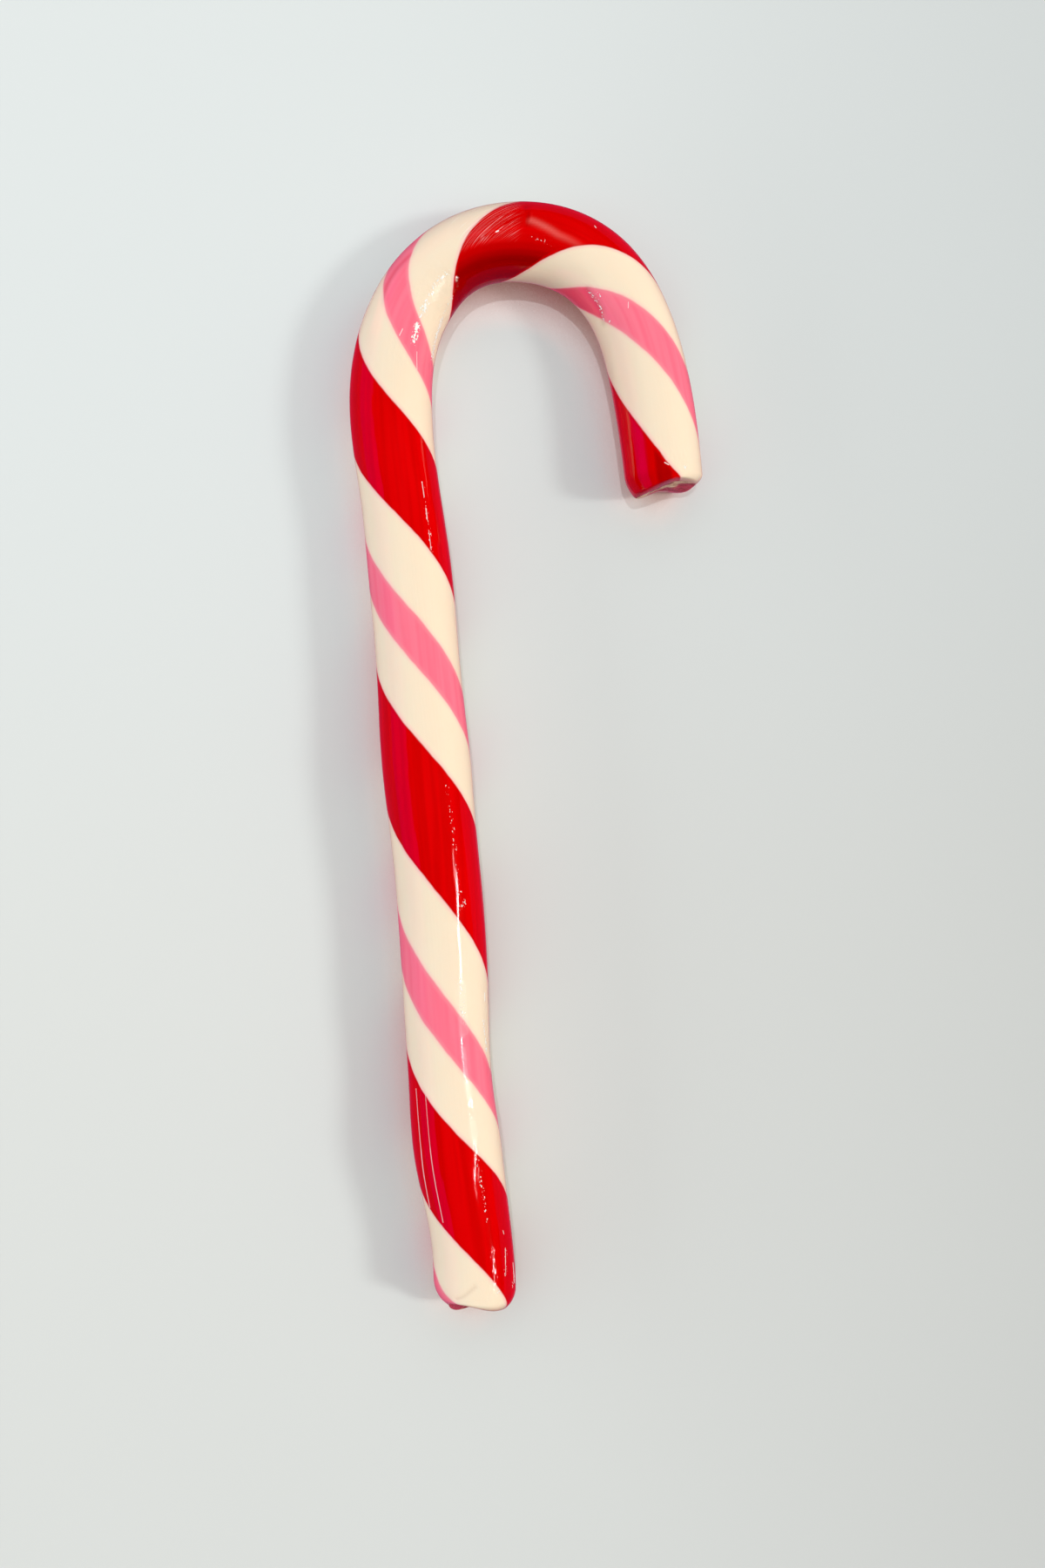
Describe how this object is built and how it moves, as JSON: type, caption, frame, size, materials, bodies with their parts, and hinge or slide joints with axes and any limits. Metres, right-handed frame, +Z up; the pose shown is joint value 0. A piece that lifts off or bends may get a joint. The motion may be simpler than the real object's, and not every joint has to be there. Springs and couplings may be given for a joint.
{
  "type": "candy cane",
  "caption": "Hand-pulled candy cane: a round cream rod of boiled sugar with twisted red and pink stripes, bent over into a hook, its ends pinched off by shears.",
  "frame": {"origin": "bottom centre of the cane's box, on the surface it lies on", "axes": "+Z up out of the surface, through the cane's thickness; +Y along the straight shaft from its foot towards the hook; +X the way the hook bends over"},
  "size_m": [0.048, 0.1524, 0.012],
  "materials": {
    "candy": "glossy pulled sugar, cream, with a broad red stripe and a narrower pink stripe that run round it as a left-handed helix; duller and wine-coloured on the cut ends"
  },
  "bodies": {
    "root": {"candy_cane": "candy"}
  },
  "joints": []
}
